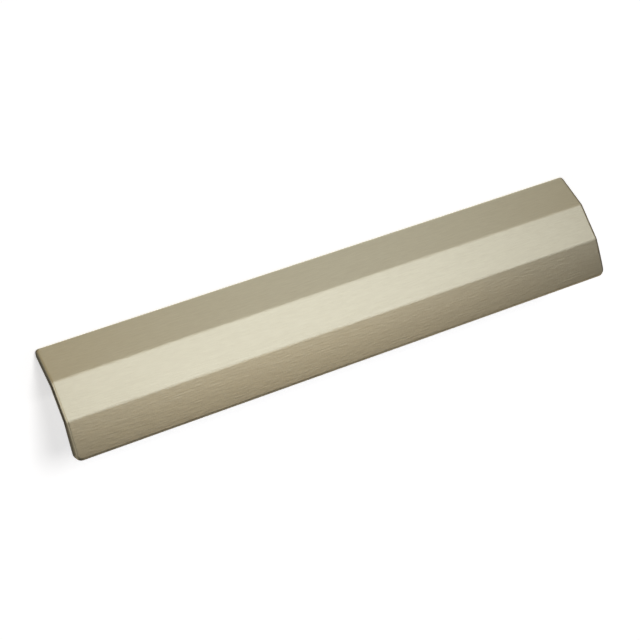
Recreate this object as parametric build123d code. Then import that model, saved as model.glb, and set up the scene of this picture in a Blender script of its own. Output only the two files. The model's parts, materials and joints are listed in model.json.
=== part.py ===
"""Bar pull for a drawer or cabinet door, cast as one piece.

A faceted hood stands on the drawer front along its top edge and reaches out and down, so that the
fingers hook behind its lower facet. Its ends are open. Two bosses inside take the screws that come
through the drawer front.

Millimetres. X runs along the pull, -Y points out of the drawer front and +Z is up. The origin is
midway between the screws, on the mounting face.
"""
import os
from math import cos, radians, sin, tan

from build123d import *

# Length: the screws set it, and each end runs past its screw
screw_spacing = 128.0
end_overhang = 11.0

# Section: three facets in a row, from the top edge on the mounting face out to the lower edge
upper_facet = 11.1
middle_facet = 10.0
lower_facet = 10.2
upper_lean = 67.5
crease_turn = 22.5
lower_crown = 0.18
wall = 2.0
lip = 2.8

# Roundings, those along the edges kept within what the wall allows
crease_radius = 2.0
inner_crease_radius = 0.8
top_corner_radius = 1.0
lower_corner_radius = 1.8
edge_round = min(0.8, 0.4 * wall)
inner_edge_round = min(0.3, 0.15 * wall)

# Screw bosses, with blind holes drilled and tapped for an M4 screw
screw_drop = 7.5
boss_diameter = 8.5
boss_draft = 1.0
boss_sink = 0.3
boss_root_round = 0.8
thread_diameter = 4.0
tap_drill = 3.3
drill_point = 118.0
thread_runout = 1.6
hole_floor = 3.2
mouth_chamfer = 0.3

length = screw_spacing + 2 * end_overhang
screw_places = (-screw_spacing / 2, screw_spacing / 2)

# The section is drawn looking along the pull: its first axis is out of the front, its second is up
section_plane = Plane(origin=(0, 0, 0), x_dir=(0, -1, 0), z_dir=(-1, 0, 0))


def facet_directions():
    """Unit vectors along the three facets, in the section, from the top edge outwards."""
    leans = [radians(upper_lean - i * crease_turn) for i in range(3)]
    return [Vector(sin(lean), -cos(lean)) for lean in leans]


def inward(direction):
    """The normal of a facet that points into the hood, in the section."""
    return Vector(direction.Y, -direction.X)


def outer_corners():
    """The section's outside, from the top edge over both creases to the lower edge."""
    corners = [Vector(0, screw_drop)]
    for direction, width in zip(facet_directions(), (upper_facet, middle_facet, lower_facet)):
        corners.append(corners[-1] + direction * width)
    return corners


def inner_corners(depth):
    """The same line at a depth inside the outside, from the mounting face to a square, thicker lip."""
    top, upper_crease, lower_crease, lower_edge = outer_corners()
    upper, middle, lower = [inward(direction) for direction in facet_directions()]
    start = top - Vector(0, depth / sin(radians(upper_lean)))
    creases = [
        crease + (before + after) * (depth / (1 + before.dot(after)))
        for crease, before, after in ((upper_crease, upper, middle), (lower_crease, middle, lower))
    ]
    return [start, *creases, lower_edge + lower * (depth * lip / wall)]


def in_space(x, point):
    """A point of the section, set at a place along the pull."""
    return Vector(x, -point.X, point.Y)


def along_pull(section):
    """A section run out to the length of the pull."""
    return extrude(section_plane * section, length / 2, both=True)


def hood():
    """The faceted wall, with a slightly crowned lower facet, rounded creases and sharp edges."""
    outside = outer_corners()
    inside = inner_corners(wall)
    crown = (outside[2] + outside[3]) / 2 - inward(facet_directions()[2]) * lower_crown
    crowned_facet = ThreePointArc(outside[2], crown, outside[3])
    section = make_face(crowned_facet + Polyline(outside[3], *reversed(inside), *outside[:3]))
    for creases, radius in ((outside[1:3], crease_radius), (inside[1:3], inner_crease_radius)):
        corners = [section.vertices().sort_by_distance(crease)[0] for crease in creases]
        section = fillet(corners, radius)
    return along_pull(section)


def corner_edges(body, i):
    """The two edges across the wall, one at each end, at the top (first) or lower (last) corner."""
    middle = (outer_corners()[i] + inner_corners(wall)[i]) / 2
    places = [in_space(x, middle) for x in (-length / 2, length / 2)]
    return [body.edges().sort_by_distance(place)[0] for place in places]


def outer_rim(body):
    """The edges all round the outside of the hood, without those between its own faces."""
    out = in_space(0, inward(facet_directions()[1])) * -1
    rim = []
    for face in body.faces():
        if face.normal_at(face.center()).dot(out) < 0.5:
            continue
        for edge in face.edges():
            shared = [other for other in rim if other.is_same(edge)]
            rim = [other for other in rim if other not in shared] if shared else [*rim, edge]
    return rim


def inner_rim(body):
    """The edges of the mounting face that look into the hood, round the bosses too."""
    seat = body.faces().sort_by(Axis.Y)[-1]
    inner_line = inner_corners(wall)[0].Y
    return [edge for edge in seat.outer_wire().edges() if edge.center().Z < inner_line + edge_round / 10]


def boss(x):
    """One screw boss: a drafted post with a web of its own width up to the upper facet."""
    radius = boss_diameter / 2
    reach = outer_corners()[-1].X
    spread = radius + reach * tan(radians(boss_draft))
    post = Rot(90, 0, 0) * Cone(radius, spread, reach, align=(Align.CENTER, Align.CENTER, Align.MIN))
    plan = Polyline((-radius, 0), (radius, 0), (spread, -reach), (-spread, -reach), close=True)
    web = extrude(make_face(plan), screw_drop)
    inside_wall = inner_corners(wall - boss_sink)
    room = make_face(Polyline(*inside_wall, Vector(0, inside_wall[-1].Y), close=True))
    return Pos(x, 0, 0) * (post + web) & along_pull(room)


def front_over_screw():
    """How far the outside stands out of the mounting face where the screw's axis meets it."""
    outside = outer_corners()
    for above, below in zip(outside, outside[1:]):
        if below.Y <= 0 <= above.Y:
            return above.X + (below.X - above.X) * above.Y / (above.Y - below.Y)
    return outside[-1].X


def screw_hole(x):
    """One blind hole: chamfered mouth, the thread's full width, then the drill with its pointed floor."""
    thread = thread_diameter / 2
    drill = tap_drill / 2
    point = drill / tan(radians(drill_point / 2))
    drill_depth = front_over_screw() - hole_floor - point
    thread_depth = drill_depth - thread_runout
    half_section = Polyline(
        (0, 0),
        (thread + mouth_chamfer, 0),
        (thread, -mouth_chamfer),
        (thread, -thread_depth),
        (drill, -thread_depth),
        (drill, -drill_depth),
        (0, -drill_depth - point),
        close=True,
    )
    return Pos(x, 0, 0) * revolve(make_face(half_section), Axis.Y)


def pull_body():
    """The whole casting, with its edges rounded in the order in which they meet."""
    body = hood()
    body = fillet(corner_edges(body, 0), top_corner_radius)
    body = fillet(corner_edges(body, -1), lower_corner_radius)
    body = fillet(outer_rim(body), edge_round)
    bosses = [boss(x) for x in screw_places]
    joined = body + bosses
    body = fillet(new_edges(body, *bosses, combined=joined), boss_root_round)
    body = fillet(inner_rim(body), inner_edge_round)
    return body - [screw_hole(x) for x in screw_places]


os.makedirs("parts", exist_ok=True)
export_step(pull_body(), "parts/pull_body.step")
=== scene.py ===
"""Bar pull: a faceted hood in brushed warm nickel, screwed to a white drawer front.

Metres. X runs along the pull, -Y points out of the drawer front and +Z is up.
"""
import json
from math import cos, pi, radians, sin

import bmesh
import bpy
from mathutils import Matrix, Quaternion, Vector


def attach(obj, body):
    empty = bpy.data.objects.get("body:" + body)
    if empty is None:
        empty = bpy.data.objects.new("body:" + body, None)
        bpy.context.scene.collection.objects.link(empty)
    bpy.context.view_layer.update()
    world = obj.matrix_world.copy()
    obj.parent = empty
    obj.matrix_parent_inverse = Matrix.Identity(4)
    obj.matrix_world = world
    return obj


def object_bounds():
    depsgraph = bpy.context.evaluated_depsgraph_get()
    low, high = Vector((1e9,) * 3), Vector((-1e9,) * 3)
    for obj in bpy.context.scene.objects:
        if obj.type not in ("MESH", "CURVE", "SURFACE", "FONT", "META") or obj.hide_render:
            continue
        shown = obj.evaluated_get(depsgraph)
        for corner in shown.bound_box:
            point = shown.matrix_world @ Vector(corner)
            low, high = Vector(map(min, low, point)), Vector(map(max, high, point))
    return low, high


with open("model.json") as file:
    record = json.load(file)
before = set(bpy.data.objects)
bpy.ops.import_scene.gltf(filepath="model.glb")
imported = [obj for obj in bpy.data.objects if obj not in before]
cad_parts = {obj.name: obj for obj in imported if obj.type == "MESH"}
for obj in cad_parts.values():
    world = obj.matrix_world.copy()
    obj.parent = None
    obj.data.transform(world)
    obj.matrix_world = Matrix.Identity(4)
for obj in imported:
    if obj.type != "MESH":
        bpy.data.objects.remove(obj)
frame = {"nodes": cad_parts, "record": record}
cad_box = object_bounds()

# Camera, at the photograph's viewing angle
camera_azimuth = -24.39
camera_elevation = 33.58
camera_roll = -4.91
camera_aim = Vector((-0.005235, -0.011976, -0.003555))
camera_distance = 0.40566
camera_lens = 91.01
camera_near = 0.01

# Plated finish: brushed along the pull on the outside, as cast inside, darker on the cut ends, partly
# from their cut finish and partly as painted shade
nickel_colour = (0.62, 0.59, 0.463)
nickel_shade = (0.59, 0.558, 0.437)
brushed_roughness = 0.40
brushed_roughness_swing = 0.025
brush_anisotropy = 0.6
cast_colour = (0.50, 0.475, 0.375)
cast_roughness = 0.48
# Cut ends darker: partly their own finish, partly painted shade that keeps their dark outline
end_finish_and_shade_colour = (0.36, 0.34, 0.265)
end_roughness = 0.45

# Where each finish lies: how squarely a face looks outward, and how near it is to the pull's ends, where
# the painted shade goes too
outward = Vector((0, -1, 1)).normalized()
outside_starts = 0.15
outside_full = 0.45
pull_end = cad_box[1][0]
end_band = 0.00048
end_band_full = 0.00030

# Marks in the surface: how often they change in a metre, along the pull and across it, and their depth
brush_along = 350
brush_across = 2400
brush_depth = 0.00004
streak_along = 60
streak_across = 2200
streak_depth = 0.0000003
cast_grain = 1500
cast_depth = 0.000012

# Noise that draws the marks: its layers, and the part of its range that is used
soft_detail = 2.0
fine_detail = 3.0
detail_roughness = 0.55
noise_low = 0.3
noise_middle = 0.5
noise_high = 0.7

# Screw threads, M4, in the two blind holes
screws = next(mount for mount in frame["record"]["mounts"] if mount["name"] == "screws")
screw_spacing = screws["dims"]["spacing_x_mm"] / 1000
thread_radius = screws["dims"]["hole_r_mm"] / 1000
thread_pitch = 0.0007
thread_height = 0.00038
thread_root = 0.00061
thread_crest = 0.00018
thread_sink = 0.00003
thread_start = 0.00065
thread_end = 0.0073
thread_steps = 28
cut_roughness_low = 0.28
cut_roughness_high = 0.42

# White drawer front, and the pale room seen past it
front_gap = 0.0001
front_size = 6.0
front_white = (0.80, 0.80, 0.80)
front_glow = (0.588, 0.594, 0.610)
backdrop_radius = 5.0
backdrop_segments = 48
backdrop_rings = 24
backdrop_white = (1.0, 1.0, 1.0)

# Lamps, all at one distance from the pull, with a key that throws the shadow
lamp_distance = 1.0
key_from = Vector((0.146, -0.810, 0.567))
key_strength = 1.36
key_spread = 19.0

# Colours of the room, from straight below to straight above
room_stops = (
    (0.00, (0.036, 0.030, 0.023)),
    (0.50, (0.045, 0.043, 0.040)),
    (0.75, (0.110, 0.085, 0.055)),
    (1.00, (0.425, 0.322, 0.163)),
)


def placed(name, data):
    """A new object in the scene."""
    thing = bpy.data.objects.new(name, data)
    bpy.context.scene.collection.objects.link(thing)
    return thing


def new_material(name):
    """A new material and its node tree."""
    material = bpy.data.materials.new(name)
    material.use_nodes = True
    return material, material.node_tree


def node(tree, kind, **settings):
    """A new shader node, with its input sockets set by name."""
    made = tree.nodes.new(kind)
    for name, value in settings.items():
        made.inputs[name.replace("_", " ")].default_value = value
    return made


def stretched_noise(tree, place, along, across, detail):
    """Noise drawn out along the pull: how often it changes in a metre along it and across it."""
    stretch = node(tree, "ShaderNodeMapping", Scale=(along, across, across))
    noise = node(tree, "ShaderNodeTexNoise", Scale=1.0, Detail=detail, Roughness=detail_roughness)
    tree.links.new(place.outputs["Object"], stretch.inputs["Vector"])
    tree.links.new(stretch.outputs[0], noise.inputs["Vector"])
    return noise.outputs["Fac"]


def spread(tree, value, low, high, start=noise_low, end=noise_high):
    """A value between start and end, drawn out to run from low to high."""
    ranged = node(tree, "ShaderNodeMapRange", From_Min=start, From_Max=end, To_Min=low, To_Max=high)
    tree.links.new(value, ranged.inputs["Value"])
    return ranged.outputs[0]


def mixed(tree, share, first, second, kind="RGBA"):
    """Two colours or numbers mixed by a share, each a socket or a plain value."""
    mix = tree.nodes.new("ShaderNodeMix")
    mix.data_type = kind
    ending = "_Color" if kind == "RGBA" else "_Float"
    tree.links.new(share, mix.inputs[0])
    for letter, value in (("A", first), ("B", second)):
        socket = next(entry for entry in mix.inputs if entry.identifier == letter + ending)
        if isinstance(value, bpy.types.NodeSocket):
            tree.links.new(value, socket)
        else:
            socket.default_value = (*value, 1) if kind == "RGBA" else value
    return next(result for result in mix.outputs if result.identifier == "Result" + ending)


def raised(tree, height, depth, under=None):
    """A bump of a height map, over another bump where there is one."""
    bump = node(tree, "ShaderNodeBump", Strength=1.0, Distance=depth)
    tree.links.new(height, bump.inputs["Height"])
    if under:
        tree.links.new(under, bump.inputs["Normal"])
    return bump.outputs[0]


def outside_share(tree, place):
    """1 on the brushed outside, 0 on the cut ends and inside."""
    facing = tree.nodes.new("ShaderNodeVectorMath")
    facing.operation = "DOT_PRODUCT"
    facing.inputs[1].default_value = outward
    tree.links.new(place.outputs["Normal"], facing.inputs[0])
    return spread(tree, facing.outputs["Value"], 0, 1, outside_starts, outside_full)


def end_finish_and_shade_share(tree, place):
    """1 on the cut ends and the outer part of their rounded edges, 0 along the pull: where the end finish
    and its painted shade lie.
    """
    split = tree.nodes.new("ShaderNodeSeparateXYZ")
    reach = tree.nodes.new("ShaderNodeMath")
    reach.operation = "ABSOLUTE"
    tree.links.new(place.outputs["Object"], split.inputs[0])
    tree.links.new(split.outputs["X"], reach.inputs[0])
    return spread(tree, reach.outputs[0], 0, 1, pull_end - end_band, pull_end - end_band_full)


def nickel_material():
    """Warm nickel plate: brushed along the pull outside, finely grained from the mould inside, with
    painted shade darkening the cut ends.
    """
    material, tree = new_material("brushed_nickel")
    shader = tree.nodes["Principled BSDF"]
    place = tree.nodes.new("ShaderNodeTexCoord")

    outside = outside_share(tree, place)
    ends = end_finish_and_shade_share(tree, place)
    brush = stretched_noise(tree, place, brush_along, brush_across, soft_detail)
    streaks = stretched_noise(tree, place, streak_along, streak_across, fine_detail)
    grain = stretched_noise(tree, place, cast_grain, cast_grain, fine_detail)

    brushed_colour = mixed(tree, spread(tree, brush, 0, 1), nickel_colour, nickel_shade)
    colour = mixed(tree, outside, cast_colour, brushed_colour)
    # Painted shade: the cut ends and their rounded edges are darkened, partly a cut finish and partly
    # shade
    colour = mixed(tree, ends, colour, end_finish_and_shade_colour)

    lowest = brushed_roughness - brushed_roughness_swing / 2
    brushed_rough = spread(tree, streaks, lowest, lowest + brushed_roughness_swing)
    rough = mixed(tree, outside, cast_roughness, brushed_rough, "FLOAT")
    rough = mixed(tree, ends, rough, end_roughness, "FLOAT")

    cast_height = mixed(tree, outside, grain, noise_middle, "FLOAT")
    streak_height = mixed(tree, outside, noise_middle, streaks, "FLOAT")
    brush_height = mixed(tree, outside, noise_middle, brush, "FLOAT")
    normal = raised(tree, cast_height, cast_depth)
    normal = raised(tree, streak_height, streak_depth, normal)
    normal = raised(tree, brush_height, brush_depth, normal)

    across = tree.nodes.new("ShaderNodeTangent")
    across.direction_type = "RADIAL"
    across.axis = "X"
    shader.inputs["Metallic"].default_value = 1.0
    shader.inputs["Anisotropic"].default_value = brush_anisotropy
    tree.links.new(colour, shader.inputs["Base Color"])
    tree.links.new(rough, shader.inputs["Roughness"])
    tree.links.new(normal, shader.inputs["Normal"])
    tree.links.new(across.outputs[0], shader.inputs["Tangent"])
    return material


def cut_thread_material():
    """The tapped thread: bare metal, bright from the cut, with a fine grain."""
    material, tree = new_material("cut_thread")
    shader = tree.nodes["Principled BSDF"]
    place = tree.nodes.new("ShaderNodeTexCoord")
    cuts = stretched_noise(tree, place, cast_grain, cast_grain, soft_detail)
    colour = mixed(tree, spread(tree, cuts, 0, 1), nickel_colour, cast_colour)
    rough = spread(tree, cuts, cut_roughness_low, cut_roughness_high)
    shader.inputs["Metallic"].default_value = 1.0
    tree.links.new(colour, shader.inputs["Base Color"])
    tree.links.new(rough, shader.inputs["Roughness"])
    return material


def screw_thread(name, x, material):
    """The ridge of one thread: its section, spun from the inner end of the hole out to its mouth."""
    turns = (thread_end - thread_start) / thread_pitch
    root = thread_radius + thread_sink
    crest = thread_radius - thread_height
    section = (
        (-thread_root, root),
        (thread_root, root),
        (thread_crest, crest),
        (-thread_crest, crest),
    )
    mesh = bmesh.new()
    corners = [mesh.verts.new((x, -thread_end + width / 2, radius)) for width, radius in section]
    face = mesh.faces.new(corners)
    bmesh.ops.spin(
        mesh,
        geom=[face, *face.edges, *face.verts],
        cent=(x, 0, 0),
        axis=(0, 1, 0),
        dvec=(0, thread_pitch / thread_steps, 0),
        angle=2 * pi * turns,
        steps=round(turns * thread_steps),
    )
    bmesh.ops.recalc_face_normals(mesh, faces=mesh.faces)
    data = bpy.data.meshes.new(name)
    mesh.to_mesh(data)
    mesh.free()
    data.materials.append(material)
    thread = placed(name, data)
    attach(thread, "root")


def camera_only(thing):
    """Part of the stage, seen by the camera and by nothing else."""
    for rays in ("diffuse", "glossy", "transmission", "shadow"):
        setattr(thing, "visible_" + rays, False)


def drawer_front():
    """The white surface behind the pull, which keeps its shadow and is clear from behind."""
    upright = (radians(90), 0, 0)
    bpy.ops.mesh.primitive_plane_add(size=front_size, location=(0, front_gap, 0), rotation=upright)
    front = bpy.context.object
    front.name = "drawer_front"
    material, tree = new_material("white_front")
    tree.nodes.clear()
    paint = node(tree, "ShaderNodeBsdfDiffuse", Color=(*front_white, 1))
    glow = node(tree, "ShaderNodeEmission", Color=(*front_glow, 1))
    lit = tree.nodes.new("ShaderNodeAddShader")
    clear = tree.nodes.new("ShaderNodeBsdfTransparent")
    side = tree.nodes.new("ShaderNodeNewGeometry")
    pick = tree.nodes.new("ShaderNodeMixShader")
    out = tree.nodes.new("ShaderNodeOutputMaterial")
    tree.links.new(paint.outputs[0], lit.inputs[0])
    tree.links.new(glow.outputs[0], lit.inputs[1])
    tree.links.new(side.outputs["Backfacing"], pick.inputs[0])
    tree.links.new(lit.outputs[0], pick.inputs[1])
    tree.links.new(clear.outputs[0], pick.inputs[2])
    tree.links.new(pick.outputs[0], out.inputs["Surface"])
    material.cycles.emission_sampling = "NONE"
    front.data.materials.append(material)
    camera_only(front)


def backdrop():
    """A pale round room, far off, for the views from behind."""
    bpy.ops.mesh.primitive_uv_sphere_add(
        segments=backdrop_segments,
        ring_count=backdrop_rings,
        radius=backdrop_radius,
    )
    room = bpy.context.object
    room.name = "backdrop"
    material, tree = new_material("pale_backdrop")
    tree.nodes.clear()
    glow = node(tree, "ShaderNodeEmission", Color=(*backdrop_white, 1))
    out = tree.nodes.new("ShaderNodeOutputMaterial")
    tree.links.new(glow.outputs[0], out.inputs["Surface"])
    material.cycles.emission_sampling = "NONE"
    room.data.materials.append(material)
    camera_only(room)


def aimed(name, data, direction):
    """A lamp in a direction from the pull, turned towards it and kept upright."""
    lamp = placed(name, data)
    away = direction.normalized()
    lamp.location = away * lamp_distance
    lamp.rotation_mode = "QUATERNION"
    lamp.rotation_quaternion = (-away).to_track_quat("-Z", "X")
    lamp.visible_camera = False
    return lamp


def softbox(name, elevation, side, wide, tall, colour, on_metal=True):
    """A flat lamp, by degrees up from straight ahead and to the right, for the metal or for the front."""
    up = radians(elevation)
    right = radians(side)
    direction = Vector((sin(right), -cos(right) * cos(up), cos(right) * sin(up)))
    box = bpy.data.lights.new(name, "AREA")
    box.shape = "RECTANGLE"
    box.size = tall
    box.size_y = wide
    # Power goes with the size, so that the colour alone sets how bright the lamp looks
    box.energy = pi * wide * tall
    box.color = colour
    lamp = aimed(name, box, direction)
    lamp.visible_glossy = on_metal
    lamp.visible_diffuse = not on_metal


def room_light():
    """The room round the pull, dark below and warm overhead."""
    world = bpy.data.worlds.new("room")
    bpy.context.scene.world = world
    world.use_nodes = True
    tree = world.node_tree
    place = tree.nodes.new("ShaderNodeTexCoord")
    split = tree.nodes.new("ShaderNodeSeparateXYZ")
    ramp = tree.nodes.new("ShaderNodeValToRGB")
    tree.links.new(place.outputs["Generated"], split.inputs[0])
    tree.links.new(spread(tree, split.outputs["Z"], 0, 1, -1, 1), ramp.inputs[0])
    stops = ramp.color_ramp.elements
    stops.remove(stops[1])
    for at, colour in room_stops:
        stop = stops[0] if at == 0 else stops.new(at)
        stop.position = at
        stop.color = (*colour, 1)
    tree.links.new(ramp.outputs[0], tree.nodes["Background"].inputs["Color"])


def studio():
    """A key and a low lamp that light the front, and the softboxes and cards that the metal shows."""
    key = bpy.data.lights.new("key", "SUN")
    key.energy = key_strength
    key.angle = radians(key_spread)
    aimed("key", key, key_from).visible_glossy = False
    white = (3.60, 3.60, 3.60)
    softbox("low_key", elevation=-20.6, side=0, wide=1.60, tall=0.09, colour=white, on_metal=False)
    softbox("main_softbox", elevation=54, side=17, wide=0.64, tall=0.90, colour=(1.40, 1.51, 1.69))
    softbox("overhead_softbox", elevation=118, side=24, wide=0.50, tall=0.60, colour=(0.34, 0.43, 0.53))
    softbox("top_rim_card", elevation=160, side=20, wide=0.60, tall=0.60, colour=(1.80, 1.80, 1.80))
    softbox("front_card", elevation=15, side=16, wide=0.40, tall=0.40, colour=(1.07, 0.86, 0.58))
    softbox("left_card", elevation=56, side=-40, wide=1.20, tall=0.60, colour=(1.30, 1.30, 1.26))
    softbox("left_low_card", elevation=5, side=-44, wide=0.90, tall=0.40, colour=(0.45, 0.39, 0.29))
    softbox("floor_bounce", elevation=-72, side=32, wide=1.00, tall=1.00, colour=(0.46, 0.40, 0.31))
    softbox("left_bounce", elevation=-90, side=-48, wide=0.70, tall=0.60, colour=(1.00, 0.88, 0.70))
    softbox("back_card", elevation=-150, side=24, wide=1.50, tall=1.00, colour=(1.05, 0.94, 0.78))
    softbox("right_card", elevation=55, side=76, wide=0.50, tall=0.60, colour=(0.32, 0.30, 0.245))


def camera():
    """The camera, aimed at the pull."""
    azimuth = radians(camera_azimuth)
    elevation = radians(camera_elevation)
    back = Vector((sin(azimuth) * cos(elevation), -cos(azimuth) * cos(elevation), sin(elevation)))
    data = bpy.data.cameras.new("camera")
    data.lens = camera_lens
    data.clip_start = camera_near
    seen = placed("camera", data)
    seen.location = camera_aim + back * camera_distance
    seen.rotation_mode = "QUATERNION"
    turned = Quaternion((0, 0, 1), radians(camera_roll))
    seen.rotation_quaternion = (-back).to_track_quat("-Z", "Y") @ turned
    bpy.context.scene.camera = seen


nickel = nickel_material()
for slot in frame["nodes"]["pull_body"].material_slots:
    slot.material = nickel
bright_cut = cut_thread_material()
screw_thread("left_thread", -screw_spacing / 2, bright_cut)
screw_thread("right_thread", screw_spacing / 2, bright_cut)
drawer_front()
backdrop()
room_light()
studio()
camera()
bpy.context.scene.view_settings.view_transform = "Standard"
